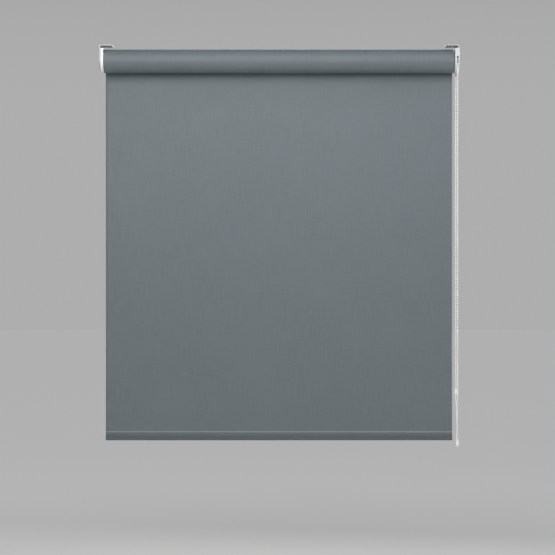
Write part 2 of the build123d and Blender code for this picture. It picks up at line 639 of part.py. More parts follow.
def beads_on(edge):
    """Distances along one edge of the route of the bead centres on it."""
    before = sum(other.length for other in route[: route.index(edge)])
    first = (-before) % BEAD_PITCH
    count = int((edge.length - first) / BEAD_PITCH + 1 - 1e-6)
    return [first + number * BEAD_PITCH for number in range(count)]


def turned_inside(edge, distance):
    """Does the whole bead lie on this straight edge, so that the strand can be turned as one?"""
    margin = BEAD_RADIUS + PROFILE_MARGIN
    return edge in straights and margin < distance < edge.length - margin


placed = [
    edge.position_at(distance, position_mode=PositionMode.LENGTH)
    for edge in route
    for distance in beads_on(edge)
    if not turned_inside(edge, distance)
]

with BuildPart() as bead_chain:
    for strand in straights:
        travel = strand % 0
        turned = [distance for distance in beads_on(strand) if turned_inside(strand, distance)]
        with BuildSketch(Plane(origin=strand @ 0, x_dir=(0, 1, 0), z_dir=Vector(0, 1, 0).cross(travel))):
            with BuildLine():
                last = (cord_radius, 0)
                Line((0, 0), last)
                for middle in turned:
                    Line(last, (cord_radius, middle - bead_overlap))
                    last = (cord_radius, middle + bead_overlap)
                    ThreePointArc((cord_radius, middle - bead_overlap), (BEAD_RADIUS, middle), last)
                Polyline(last, (cord_radius, strand.length), (0, strand.length), (0, 0))
            make_face()
        revolve(axis=Axis(strand @ 0, travel))
    for bend in [edge for edge in route if edge not in straights]:
        with BuildSketch(Plane(origin=bend @ 0, z_dir=bend % 0)):
            Circle(cord_radius)
        sweep(path=bend)
    with Locations(*placed):
        Sphere(BEAD_RADIUS)
bead_chain.part.label = "bead_chain"
export_step(bead_chain.part, "parts/bead_chain.step")

# ---------------------------------------------------------------- chain connector, snapped over three beads
CONNECTOR_BEAD = 165  # beads below the tube's axis, on the rear strand
CONNECTOR_RADIUS = 3.5
CONNECTOR_BORE = 2.5
CONNECTOR_INSIDE = 8.35
CONNECTOR_WALL = 0.8
CONNECTOR_MOUTH = 4.0
connector_z = AXIS_Z - CONNECTOR_BEAD * BEAD_PITCH
connector_half = CONNECTOR_INSIDE + CONNECTOR_WALL

with BuildPart() as chain_connector:
    with BuildSketch(Plane.XY.offset(connector_z - connector_half)):
        with Locations((CHAIN_X, PITCH_RADIUS)):
            Circle(CONNECTOR_RADIUS)
    extrude(amount=2 * connector_half)
    fillet(chain_connector.edges(), 1.0)
    with BuildSketch(Plane.XY.offset(connector_z - CONNECTOR_INSIDE)):
        with Locations((CHAIN_X, PITCH_RADIUS)):
            Circle(CONNECTOR_BORE)
            Rectangle(CONNECTOR_MOUTH, 2 * CONNECTOR_RADIUS, align=(Align.CENTER, Align.MIN))
    extrude(amount=2 * CONNECTOR_INSIDE, mode=Mode.SUBTRACT)
    with BuildSketch(Plane.XY.offset(connector_z - connector_half)):
        with Locations((CHAIN_X, PITCH_RADIUS)):
            Circle(cord_radius + 0.3)
            Rectangle(CHAIN_CORD, 2 * CONNECTOR_RADIUS, align=(Align.CENTER, Align.MIN))
    extrude(amount=2 * connector_half, mode=Mode.SUBTRACT)
chain_connector.part.label = "chain_connector"
export_step(chain_connector.part, "parts/chain_connector.step")

# ---------------------------------------------------------------- chain safety device
SHOE_WALL = 1.6
SHOE_RADIUS = GUIDE_RADIUS + BEAD_RADIUS + 0.4 + SHOE_WALL
SHOE_ABOVE = 7.4  # height of its straight sides above the bend's centre
SHOE_FRONT = CHAIN_X - BEAD_RADIUS - 1.55
SHOE_FRONT_WALL = 1.25
BACK_PLATE = 1.1
SHOE_BACK = CHAIN_X + BEAD_RADIUS + 0.3
HUB = 4.0
FOOT_RADIUS = 7.2
FOOT = 1.4
FOOT_POST = 5.0
SCREW_RADIUS = 1.9
SCREW_HEAD_RADIUS = 3.9
guide_plane = {"y": GUIDE_Y, "z": guide_z}


def shoe_outline(radius):
    """The safety device's outline, round below and straight above, in the sketch being drawn."""
    Circle(radius)
    Rectangle(2 * radius, radius, align=(Align.CENTER, Align.MIN), mode=Mode.SUBTRACT)
    Rectangle(2 * radius, SHOE_ABOVE, align=(Align.CENTER, Align.MIN))


with BuildPart() as tensioner_base:
    with BuildSketch(across(SHOE_BACK, **guide_plane)):
        shoe_outline(SHOE_RADIUS)
    extrude(amount=BACK_PLATE)
    for start, end, radius in (
        (SHOE_FRONT + SHOE_FRONT_WALL + 0.1, SHOE_BACK, HUB),
        (SHOE_BACK + BACK_PLATE, OUTER_X - FOOT, FOOT_POST),
        (OUTER_X - FOOT, OUTER_X, FOOT_RADIUS),
    ):
        with BuildSketch(across(start, **guide_plane)):
            Circle(radius)
        extrude(amount=end - start)
    with BuildSketch(across(OUTER_X, **guide_plane)):
        Circle(SCREW_RADIUS)
    extrude(amount=SHOE_FRONT - OUTER_X, mode=Mode.SUBTRACT)
tensioner_base.part.label = "tensioner_base"
export_step(tensioner_base.part, "parts/tensioner_base.step")

with BuildPart() as tensioner_cover:
    with BuildSketch(across(SHOE_FRONT, **guide_plane)):
        shoe_outline(SHOE_RADIUS)
    extrude(amount=SHOE_BACK - SHOE_FRONT)
    front_rim = tensioner_cover.faces().sort_by(Axis.X)[0].edges()
    fillet(front_rim, 1.0)
    with BuildSketch(across(SHOE_FRONT + SHOE_FRONT_WALL, **guide_plane)):
        Circle(SHOE_RADIUS - SHOE_WALL)
        Rectangle(2 * (SHOE_RADIUS - SHOE_WALL), 2 * SHOE_ABOVE, align=(Align.CENTER, Align.MIN))
    extrude(amount=SHOE_BACK - SHOE_FRONT, mode=Mode.SUBTRACT)
    with BuildSketch(across(SHOE_FRONT, **guide_plane)):
        Circle(SCREW_HEAD_RADIUS)
    extrude(amount=SHOE_FRONT_WALL, mode=Mode.SUBTRACT)
tensioner_cover.part.label = "tensioner_cover"
export_step(tensioner_cover.part, "parts/tensioner_cover.step")
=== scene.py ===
from math import atan, cos, hypot, pi, radians, sin

import bpy
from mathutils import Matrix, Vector, noise


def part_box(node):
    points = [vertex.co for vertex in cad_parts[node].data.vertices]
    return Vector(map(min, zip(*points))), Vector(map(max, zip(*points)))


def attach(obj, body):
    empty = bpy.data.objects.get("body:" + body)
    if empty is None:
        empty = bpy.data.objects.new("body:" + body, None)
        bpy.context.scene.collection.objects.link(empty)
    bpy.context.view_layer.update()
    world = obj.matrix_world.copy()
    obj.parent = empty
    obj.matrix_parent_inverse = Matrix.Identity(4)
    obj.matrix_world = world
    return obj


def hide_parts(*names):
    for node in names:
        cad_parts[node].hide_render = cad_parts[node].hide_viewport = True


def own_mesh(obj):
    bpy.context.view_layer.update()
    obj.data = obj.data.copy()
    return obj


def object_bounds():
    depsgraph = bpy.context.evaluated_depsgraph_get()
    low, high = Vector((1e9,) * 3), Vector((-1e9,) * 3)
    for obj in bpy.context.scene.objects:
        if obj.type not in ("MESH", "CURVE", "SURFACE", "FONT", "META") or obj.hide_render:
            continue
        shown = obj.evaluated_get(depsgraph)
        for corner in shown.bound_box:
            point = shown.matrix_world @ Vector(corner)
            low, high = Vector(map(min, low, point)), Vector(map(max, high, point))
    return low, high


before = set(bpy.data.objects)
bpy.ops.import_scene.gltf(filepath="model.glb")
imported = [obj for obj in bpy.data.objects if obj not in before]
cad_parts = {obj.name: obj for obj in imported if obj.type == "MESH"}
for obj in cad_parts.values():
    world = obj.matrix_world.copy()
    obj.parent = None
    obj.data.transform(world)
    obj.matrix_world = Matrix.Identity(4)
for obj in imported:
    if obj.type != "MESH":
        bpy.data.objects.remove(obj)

# A chain-operated roller blind, in metres: +X towards the chain end, -Y towards the room, +Z up.
CAD_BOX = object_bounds()
MM = 0.001

# ---------------------------------------------------------------- sizes that the frame gives
roll_low, roll_high = (Vector(corner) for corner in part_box("fabric_roll"))
drop_low, drop_high = (Vector(corner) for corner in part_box("fabric_drop"))
hem_low, hem_high = (Vector(corner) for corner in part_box("hem_pocket"))
chain_low, chain_high = (Vector(corner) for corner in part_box("bead_chain"))
connector_low, connector_high = (Vector(corner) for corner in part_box("chain_connector"))
hub_low, hub_high = (Vector(corner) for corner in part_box("tensioner_cover"))
spring_low, spring_high = (Vector(corner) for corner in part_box("pin_spring"))
tube_high = Vector(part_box("tube")[1])

AXIS_Z = (roll_low.z + roll_high.z) / 2
ROLL_RADIUS = (roll_high.z - roll_low.z) / 2
TUBE_RADIUS = tube_high.z - AXIS_Z
LEFT, RIGHT = drop_low.x, drop_high.x
WIDTH = RIGHT - LEFT
CLOTH = drop_high.y - drop_low.y
CLOTH_Y = (drop_low.y + drop_high.y) / 2
DROP = AXIS_Z - drop_low.z
BEAD_RADIUS = (chain_high.x - chain_low.x) / 2
CHAIN_X = (chain_high.x + chain_low.x) / 2
PITCH_RADIUS = chain_high.y - BEAD_RADIUS

# ---------------------------------------------------------------- camera
CAMERA_AT = Vector((-5.7, -5000.0, -694.0)) * MM
CAMERA_SPAN = 18.9  # degrees

camera = bpy.data.objects.new("camera", bpy.data.cameras.new("camera"))
camera.location = CAMERA_AT
camera.rotation_euler = (radians(90), 0, 0)
camera.data.angle = radians(CAMERA_SPAN)
bpy.context.scene.collection.objects.link(camera)
bpy.context.scene.camera = camera


# ---------------------------------------------------------------- making meshes
def piece(name, points, faces, material, body, uv=None):
    """A smooth mesh that rides on a body. uv gives each point's place on the cloth."""
    mesh = bpy.data.meshes.new(name)
    mesh.from_pydata([tuple(point) for point in points], [], faces)
    mesh.validate()
    mesh.update()
    mesh.polygons.foreach_set("use_smooth", [True] * len(mesh.polygons))
    if uv:
        layer = mesh.uv_layers.new(name="cloth")
        for loop in mesh.loops:
            layer.data[loop.index].uv = uv[loop.vertex_index]
    made = bpy.data.objects.new(name, mesh)
    bpy.context.scene.collection.objects.link(made)
    mesh.materials.append(material)
    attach(made, body)
    return made


def skin(rings):
    """Quads between closed rings of points, numbered ring after ring."""
    across = len(rings[0])
    faces = []
    for ring in range(len(rings) - 1):
        here, above = ring * across, (ring + 1) * across
        for column in range(across):
            after = (column + 1) % across
            faces.append((here + column, here + after, above + after, above + column))
    return faces


# extra stations by a cloth's edge, so that smooth shading doesn't darken it
EDGE_STEPS = [0.0, 0.15 * MM, 1.2 * MM, 2.4 * MM, 3.6 * MM, 5.0 * MM]


def stations(length, count):
    """Places along a length of cloth, closer together at its two edges."""
    middle = [length * number / count for number in range(1, count)]
    return EDGE_STEPS + middle + [length - step for step in EDGE_STEPS[::-1]]


def ease(value, start, end):
    """0 before start, 1 after end, and a smooth rise between them."""
    share = min(max((value - start) / (end - start), 0.0), 1.0)
    return share * share * (3 - 2 * share)


# ---------------------------------------------------------------- materials
class Surface:
    """A material's node tree about its shader, with short ways to add to it."""

    def __init__(self, name, **values):
        self.material = bpy.data.materials.new(name)
        self.material.use_nodes = True
        self.tree = self.material.node_tree
        self.shader = self.tree.nodes["Principled BSDF"]
        for socket, value in values.items():
            self.shader.inputs[socket.replace("_", " ")].default_value = value

    def node(self, kind, inputs=(), **settings):
        """A node with its settings. Each input is a number, a colour, or the socket that feeds it."""
        made = self.tree.nodes.new("ShaderNode" + kind)
        for setting, value in settings.items():
            setattr(made, setting, value)
        for socket, value in dict(inputs).items():
            self.feed(made.inputs[socket], value)
        return made

    def feed(self, socket, value):
        if isinstance(value, bpy.types.NodeSocket):
            self.tree.links.new(value, socket)
        else:
            socket.default_value = value

    def math(self, operation, first, second=0.0, third=0.0):
        made = self.node("Math", {0: first, 1: second, 2: third}, operation=operation)
        return made.outputs[0]

    def ramp(self, factor, low, high, to_low, to_high):
        """factor between low and high, spread smoothly over to_low to to_high."""
        inputs = {"Value": factor, "From Min": low, "From Max": high, "To Min": to_low, "To Max": to_high}
        return self.node("MapRange", inputs, interpolation_type="SMOOTHSTEP").outputs["Result"]

    def mix(self, factor, first, second):
        made = self.node("Mix", {"Factor": factor, 6: first, 7: second}, data_type="RGBA")
        return made.outputs[2]

    def place(self, scale=(1, 1, 1), turn=(0, 0, 0)):
        """Coordinates in metres, stretched by scale and turned."""
        coordinates = self.node("TexCoord").outputs["Object"]
        inputs = {"Vector": coordinates, "Scale": scale, "Rotation": turn}
        return self.node("Mapping", inputs).outputs["Vector"]

    def noise(self, vector, size, detail=3.0, roughness=0.5):
        """Noise whose features are about size metres across."""
        inputs = {"Vector": vector, "Scale": 1 / size, "Detail": detail, "Roughness": roughness}
        return self.node("TexNoise", inputs).outputs["Fac"]

    def bump(self, height, depth, strength=1.0, normal=None):
        inputs = {"Height": height, "Distance": depth, "Strength": strength}
        if normal:
            inputs["Normal"] = normal
        return self.node("Bump", inputs).outputs["Normal"]

    def finish(self, colour=None, roughness=None, normal=None):
        for socket, value in (("Base Color", colour), ("Roughness", roughness), ("Normal", normal)):
            if value is not None:
                self.feed(self.shader.inputs[socket], value)
        return self.material


def shade(colour, times):
    return tuple(part * times for part in colour[:3]) + (1.0,)


SLATE = (0.128, 0.154, 0.169, 1.0)
THREAD = 0.55 * MM  # from one thread of the weave to the next
RIB_PITCH = 1.6 * MM  # of the welding tool's pattern


def woven(name, colour, gloss=0.50, weld=False):
    """Plain-woven polyester: threads over and under, slubs along them, a faint cloudiness, and painted shade
    in the dips between threads.
    """
    cloth = Surface(
        name,
        Specular_IOR_Level=0.5,
        Subsurface_Weight=0.45,
        Subsurface_Scale=1.2 * MM,
        Subsurface_Radius=(1.0, 1.0, 1.0),
    )
    uv = cloth.node("UVMap", uv_map="cloth").outputs["UV"]
    split = cloth.node("SeparateXYZ", {"Vector": uv})
    across, along = split.outputs["X"], split.outputs["Y"]
    warp = cloth.math("SINE", cloth.math("MULTIPLY", across, pi / THREAD))
    weft = cloth.math("SINE", cloth.math("MULTIPLY", along, pi / THREAD))
    over = cloth.math("GREATER_THAN", cloth.math("MULTIPLY", warp, weft), 0.0)
    warp_round = cloth.math("ABSOLUTE", warp)
    weft_round = cloth.math("ABSOLUTE", weft)
    warp_up = cloth.math("MULTIPLY_ADD", cloth.math("MULTIPLY", warp_round, weft_round), 0.7, 0.3)
    weft_up = cloth.math("MULTIPLY_ADD", weft_round, 0.6, 0.1)
    lift = cloth.math("SUBTRACT", warp_up, weft_up)
    threads = cloth.math("MULTIPLY_ADD", lift, over, weft_up)
    # slubs: threads that are thicker and paler for a few centimetres
    weft_slub = cloth.noise(cloth.node("Mapping", {"Vector": uv, "Scale": (1, 55, 1)}).outputs[0], 45 * MM, 2)
    warp_slub = cloth.noise(cloth.node("Mapping", {"Vector": uv, "Scale": (55, 1, 1)}).outputs[0], 60 * MM, 2)
    slub = cloth.math("ADD", weft_slub, warp_slub)
    cloud = cloth.noise(uv, 0.16, 2)
    tone = cloth.mix(cloth.ramp(slub, 0.7, 1.3, 0, 1), shade(colour, 0.86), shade(colour, 1.14))
    tone = cloth.mix(cloth.ramp(cloud, 0.3, 0.7, 0, 0.5), tone, shade(colour, 1.07))
    # painted shade: darker where the threads dip between one another
    tone = cloth.mix(cloth.ramp(threads, 0.05, 0.5, 0.42, 0.0), tone, shade(colour, 0.45))
    rough = cloth.ramp(threads, 0.0, 0.9, min(gloss + 0.1, 1.0), gloss)
    normal = cloth.bump(cloth.math("MULTIPLY_ADD", slub, 0.35, threads), 0.09 * MM, 0.55)
    if weld:
        # the welding tool's rib pattern, pressed along the seam
        slanted = cloth.math("ADD", across, along)
        ribs = cloth.math("SINE", cloth.math("MULTIPLY", slanted, 2 * pi / RIB_PITCH))
        normal = cloth.bump(ribs, 0.12 * MM, 0.5, normal)
    return cloth.finish(tone, rough, normal)


def moulded(name, colour, rough=0.34, grain=0.35 * MM, depth=0.012 * MM):
    """Moulded plastic: a fine spark-eroded grain, flow marks, and handling dirt in faint patches."""
    plastic = Surface(name)
    place = plastic.place()
    flow = plastic.noise(plastic.place((1, 1, 0.25)), 14 * MM, 3)
    speck = plastic.noise(place, grain, 2)
    dirt = plastic.noise(place, 9 * MM, 5, 0.62)
    tone = plastic.mix(plastic.ramp(flow, 0.35, 0.65, 0, 1), shade(colour, 0.97), shade(colour, 1.02))
    tone = plastic.mix(plastic.ramp(dirt, 0.58, 0.8, 0, 0.35), tone, shade(colour, 0.82))
    soiled = plastic.ramp(dirt, 0.4, 0.75, 0, 0.12)
    gloss = plastic.math("ADD", soiled, plastic.ramp(speck, 0.3, 0.7, rough, rough + 0.1))
    return plastic.finish(tone, gloss, plastic.bump(speck, depth, 0.6))


def plated(name, colour, rough=0.32, streak=(1, 1, 1), patch=3.5 * MM):
    """Plated or drawn metal: cloudy patches, fine streaks, and scratches that catch the light."""
    metal = Surface(name, Metallic=1.0)
    place = metal.place(streak)
    cloud = metal.noise(metal.place(), patch, 4, 0.6)
    grain = metal.noise(place, 0.9 * MM, 3)
    scratch = metal.noise(metal.place((1, 9, 9), turn=(0.3, 0.2, 0.7)), 5 * MM, 4, 0.7)
    tone = metal.mix(metal.ramp(cloud, 0.3, 0.7, 0, 1), shade(colour, 0.86), shade(colour, 1.08))
    tone = metal.mix(metal.ramp(scratch, 0.62, 0.72, 0, 0.5), tone, shade(colour, 1.2))
    patchy = metal.ramp(cloud, 0.25, 0.75, rough - 0.08, rough + 0.1)
    gloss = metal.math("ADD", patchy, metal.ramp(grain, 0.3, 0.7, 0, 0.12))
    height = metal.math("MULTIPLY_ADD", scratch, -0.5, grain)
    return metal.finish(tone, gloss, metal.bump(height, 0.015 * MM, 0.5))


CLOTH_MATERIAL = woven("slate_weave", SLATE)
# the same cloth, painted darker in the pocket as shade: the light that comes through the single cloth from
# behind doesn't come through the doubled pocket
POCKET_PAINTED_SHADE = woven("slate_weave_pocket_painted_shade", shade(SLATE, 0.70))
# the same cloth, painted lighter along the weld as a highlight
WELD_PAINTED_HIGHLIGHT = woven("slate_weave_welded_painted_highlight", shade(SLATE, 1.70), 0.45, weld=True)
HOUSING_WHITE = moulded("white_moulding", (0.78, 0.788, 0.785, 1.0), 0.3)
# the same white moulding as the cover, painted darker as shade on the drive housing and chain guard
GUARD_PAINTED_SHADE = moulded("guard_white_painted_shade", (0.555, 0.568, 0.573, 1.0), 0.36)
BEAD_WHITE = moulded("bead_white", (0.86, 0.87, 0.85, 1.0), 0.36, 0.5 * MM)
# the cord is white like the beads; it is painted darker as shade between them
CORD_PAINTED_SHADE = moulded("cord_white_painted_shade", (0.42, 0.425, 0.41, 1.0), 0.6, 0.25 * MM, 0.03 * MM)
SAFETY_WHITE = moulded("safety_white", (0.80, 0.80, 0.79, 1.0), 0.26)
HIDDEN_GREY = moulded("grey_nylon", (0.36, 0.37, 0.38, 1.0), 0.5)
CLUTCH_BLACK = moulded("black_acetal", (0.035, 0.035, 0.038, 1.0), 0.4)
# partly painted shade: darker than zinc plate's own grey, as shade on the brackets
ZINC = plated("zinc_plate", (0.40, 0.41, 0.415, 1.0), 0.46)
EXTRUSION = plated("mill_aluminium", (0.80, 0.81, 0.82, 1.0), 0.3, (0.04, 1, 1))
SPRING = plated("spring_steel", (0.45, 0.45, 0.46, 1.0), 0.28)

# ---------------------------------------------------------------- bead chain
BEADS = 400
CORD_RADIUS = 0.7 * MM
CORD_HOLD = 0.45 * MM  # how far a stretch of cord reaches into the bead at each end
CLOSING_TOP = -1046 * MM  # between these two heights the strands close up towards the safety device
CLOSING_END = -1106 * MM
HUB_BEND = 6.65 * MM  # radius of the loop's lower bend
hub_y = (hub_low.y + hub_high.y) / 2
hub_z = chain_low.z + BEAD_RADIUS + HUB_BEND
connector_z = (connector_low.z + connector_high.z) / 2


def round_points(y, z, radius, first, last, step):
    """Control points round a bend: the spline runs at radius about (y, z). Angles: degrees from +Y."""
    outside = radius / cos(radians(step / 2))
    angles = [first + step * number for number in range(round((last - first) / step) + 1)]
    return [(y + outside * cos(radians(angle)), z + outside * sin(radians(angle))) for angle in angles]


def closing_points(start_y, end_y):
    """The two control points between which a strand moves over to the safety device."""
    offset = abs(start_y - end_y) / 2
    half = (CLOSING_TOP - CLOSING_END) / 2
    reach = hypot(offset, half) / (2 * cos(atan(offset / half)))
    return [(start_y, CLOSING_TOP - reach), (end_y, CLOSING_END + reach)]


front, rear = -PITCH_RADIUS, PITCH_RADIUS
CHAIN_ROUTE = [
    (rear, connector_z),
    (rear, -0.700),
    (rear, -0.350),
    *round_points(0, AXIS_Z, PITCH_RADIUS, -15, 195, 30),
    (front, -0.350),
    (front, -0.700),
    (front, CLOSING_TOP + 0.020),
    *closing_points(front, hub_y - HUB_BEND),
    (hub_y - HUB_BEND, CLOSING_END - 0.020),
    *round_points(hub_y, hub_z, HUB_BEND, 150, 390, 60),
    (hub_y + HUB_BEND, CLOSING_END - 0.020),
    *closing_points(rear, hub_y + HUB_BEND)[::-1],
    (rear, CLOSING_TOP + 0.005),
    (rear, connector_z),
]


def spline_points(route, x):
    """Points along the smooth line that a route's control points give."""
    curve = bpy.data.curves.new("route", "CURVE")
    curve.dimensions = "3D"
    curve.resolution_u = 24
    spline = curve.splines.new("NURBS")
    spline.points.add(len(route) - 1)
    for point, (y, z) in zip(spline.points, route):
        point.co = (x, y, z, 1)
    spline.order_u = 3
    spline.use_endpoint_u = True
    holder = bpy.data.objects.new("route", curve)
    bpy.context.scene.collection.objects.link(holder)
    bpy.context.view_layer.update()
    line = bpy.data.meshes.new_from_object(holder.evaluated_get(bpy.context.evaluated_depsgraph_get()))
    points = [vertex.co.copy() for vertex in line.vertices]
    bpy.data.objects.remove(holder)
    bpy.data.curves.remove(curve)
    bpy.data.meshes.remove(line)
    return points


class Line:
    """Places along a run of points by the distance from its start."""

    def __init__(self, points):
        self.points = points
        self.marks = [0.0]
        for before, after in zip(points, points[1:]):
            self.marks.append(self.marks[-1] + (after - before).length)
        self.length = self.marks[-1]
        self.step = 0

    def at(self, distance):
        """The point there and the line's direction. Distances are asked for in rising order."""
        distance = distance % self.length
        if distance < self.marks[self.step]:
            self.step = 0
        while self.marks[self.step + 1] < distance:
            self.step += 1
        before, after = self.points[self.step], self.points[self.step + 1]
        run = after - before
        return before + run * ((distance - self.marks[self.step]) / run.length), run.normalized()


def lathe(points, faces, centre, direction, profile, sides=14):
    """Adds a closed round body about direction. profile lists (distance along it, radius), poles included."""
    side = Vector((1, 0, 0))
    up = direction.cross(side).normalized()
    first = len(points)
    rings = profile[1:-1]
    for distance, radius in rings:
        for number in range(sides):
            angle = 2 * pi * number / sides
            points.append(centre + direction * distance + (side * cos(angle) + up * sin(angle)) * radius)
    points.append(centre + direction * profile[0][0])
    points.append(centre + direction * profile[-1][0])
    for ring in range(len(rings) - 1):
        for number in range(sides):
            here, after = first + ring * sides, (number + 1) % sides
            faces.append((here + number, here + after, here + sides + after, here + sides + number))
    last_ring = first + (len(rings) - 1) * sides
    for number in range(sides):
        after = (number + 1) % sides
        faces.append((first + after, first + number, len(points) - 2))
        faces.append((last_ring + number, last_ring + after, len(points) - 1))


def bead_profile():
    """A moulded bead: a ball with the fine ridge of the mould's parting line round its middle."""
    ridge = 0.05 * MM
    steps = 10
    profile = []
    for number in range(steps + 1):
        angle = -pi / 2 + pi * number / steps
        reach = BEAD_RADIUS * cos(angle) + (ridge if number == steps // 2 else 0)
        profile.append((BEAD_RADIUS * sin(angle), reach))
    return profile


def cord_profile(length):
    """The short stretch of cord between two beads, its ends inside them."""
    steps = 4
    ends = length / 2
    rings = []
    for number in range(steps + 1):
        rings.append((-ends + length * number / steps, CORD_RADIUS * (1 + 0.06 * (-1) ** number)))
    return [(-ends, 0.0), *rings, (ends, 0.0)]


def make_chain():
    """The whole loop of beads, along the route that the sprocket and the safety device give it."""
    path = spline_points(CHAIN_ROUTE, CHAIN_X)
    line = Line(path)
    pitch = line.length / BEADS
    bead = bead_profile()
    cord = cord_profile(pitch - 2 * BEAD_RADIUS + 2 * CORD_HOLD)
    points, faces, finishes = [], [], []
    for number in range(BEADS):
        centre, direction = line.at(number * pitch)
        lathe(points, faces, centre, direction, bead)
        finishes += [0] * (len(faces) - len(finishes))
        centre, direction = line.at((number + 0.5) * pitch)
        lathe(points, faces, centre, direction, cord, 8)
        finishes += [1] * (len(faces) - len(finishes))
    chain = piece("chain_beads", points, faces, BEAD_WHITE, "frame")
    # the cord's faces take the painted shade
    chain.data.materials.append(CORD_PAINTED_SHADE)
    chain.data.polygons.foreach_set("material_index", finishes)
    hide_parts("bead_chain")


make_chain()

# ---------------------------------------------------------------- fabric on the roll
TURN_PITCH = CLOTH + 0.05 * MM
ROLL_STEPS = 60  # round each turn
SLIP = 0.35 * MM  # how far one turn's edge stands off the next
SWELL = 0.12 * MM  # unevenness of the winding


def make_roll():
    """The cloth wound on the tube: one ribbon, whose turns show at both ends of the roll."""
    outer = ROLL_RADIUS - CLOTH / 2
    turns = (outer - TUBE_RADIUS - CLOTH / 2) / TURN_PITCH
    count = int(turns * ROLL_STEPS)
    places_across = stations(WIDTH, 28)
    points, uv, rows = [], [], []
    for step in range(count + 1):
        angle = 2 * pi * step / ROLL_STEPS
        radius = outer - TURN_PITCH * angle / (2 * pi)
        slip = SLIP * noise.noise((step / ROLL_STEPS * 1.7, 4.2, 0.5))
        row = []
        for half, places in ((CLOTH / 2, places_across), (-CLOTH / 2, places_across[::-1])):
            for across in places:
                x = LEFT + across + slip * (1 - 2 * across / WIDTH)
                swell = SWELL * noise.noise((x * 5, angle * 0.8, 1.5))
                reach = radius + half + min(swell, 0.0)
                row.append(Vector((x, reach * cos(angle), AXIS_Z + reach * sin(angle))))
                uv.append((x, angle * radius))
        rows.append(row)
        points.extend(row)
    faces = skin(rows)
    girth = len(rows[0])
    for start, order in ((0, 1), (len(points) - girth, -1)):
        for number in range(girth // 2 - 1):
            end = start + girth - 1 - number
            quad = (start + number, start + number + 1, end - 1, end)
            faces.append(quad[::-order])
    roll = piece("wound_fabric", points, faces, CLOTH_MATERIAL, "roller", uv)
    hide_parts("fabric_roll")


make_roll()

# ---------------------------------------------------------------- hanging fabric
CURL_WIDTH = 6 * MM  # how much of each side edge curls back
LEFT_CURL = 3.2 * MM
RIGHT_CURL = 1.7 * MM
SETTLING = 50 * MM  # below the axis, where the cloth has come to its hanging plane
WAVE_DEPTH = 0.5 * MM  # the even waves across the blind
WAVE_LENGTH = 0.41
UNEVEN = 0.9 * MM  # what noise adds to them
RIPPLE_ROOM = 1.2 * MM  # keeps the ripples behind the roll when the blind is up
TUCK = 0.3 * MM  # how far the cloth's lower edge goes into the weld


def hang(x, below):
    """How far the hanging cloth stands back from the roll's axis, at x and a distance below the axis."""
    leaving = ROLL_RADIUS - CLOTH / 2
    settled = leaving + (CLOTH_Y - leaving) * ease(below, 0.0, SETTLING)
    free = ease(below, 0.03, 0.35) * (1 - ease(below, DROP - 0.16, DROP - 0.004))
    ripple = WAVE_DEPTH * sin(2 * pi * x / WAVE_LENGTH + 0.6)
    ripple += UNEVEN * noise.noise((x * 3.1, below * 0.9, 7.0))
    left_lift = 1 - min((x - LEFT) / CURL_WIDTH, 1)
    right_lift = 1 - min((RIGHT - x) / CURL_WIDTH, 1)
    curl = LEFT_CURL * left_lift ** 2 + RIGHT_CURL * right_lift ** 2
    curled = ease(below, 0.035, 0.08) * (1 - ease(below, DROP - 0.03, DROP - 0.002))
    return settled + free * (ripple + RIPPLE_ROOM) + curled * curl


def make_drop():
    """The hanging sheet, from the back of the roll down to the hem."""
    places_across = stations(WIDTH, 150)
    places_down = stations(DROP + TUCK, 130)
    columns, levels = len(places_across) - 1, len(places_down) - 1
    points, uv = [], []
    faces_of = {}
    for side, half in ((0, -CLOTH / 2), (1, CLOTH / 2)):
        for level, below in enumerate(places_down):
            for column, across in enumerate(places_across):
                x = LEFT + across
                faces_of[side, level, column] = len(points)
                points.append(Vector((x, hang(x, below) + half, AXIS_Z - below)))
                uv.append((x, -below))
    faces = []
    for level in range(levels):
        for column in range(columns):
            corners = ((level, column), (level + 1, column), (level + 1, column + 1), (level, column + 1))
            faces.append(tuple(faces_of[0, *corner] for corner in corners))
            faces.append(tuple(faces_of[1, *corner] for corner in corners[::-1]))
    rim = [(0, column) for column in range(columns)]
    rim += [(level, columns) for level in range(levels)]
    rim += [(levels, column) for column in range(columns, 0, -1)]
    rim += [(level, 0) for level in range(levels, 0, -1)]
    for here, after in zip(rim, rim[1:] + rim[:1]):
        faces.append((faces_of[0, *here], faces_of[0, *after], faces_of[1, *after], faces_of[1, *here]))
    drop = piece("hanging_fabric", points, faces, CLOTH_MATERIAL, "frame", uv)
    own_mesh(drop)
    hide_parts("fabric_drop")
    return drop


drop = make_drop()

# ---------------------------------------------------------------- hem pocket, welded round the bottom bar
HEM_DEPTH = hem_high.y - hem_low.y
HEM_HEIGHT = hem_high.z - hem_low.z
WELD_TOP = HEM_HEIGHT
WELD_LOW = HEM_HEIGHT - 4.6 * MM
POCKET = HEM_HEIGHT - 6.6 * MM  # height of the pocket, up to where its two sides meet
SHOULDER = 5.2 * MM  # height over which the two sides part below the weld
SHOULDER_STEPS = 8
PRESS_DEPTH = 0.14 * MM  # how deep the welding tool presses
PUCKER = 0.22 * MM  # looseness of the cloth round the bar
WELD_PUCKER = 0.10 * MM
INNER_GAP = 0.02 * MM  # from the pocket's middle to its inner face, where the two sides meet


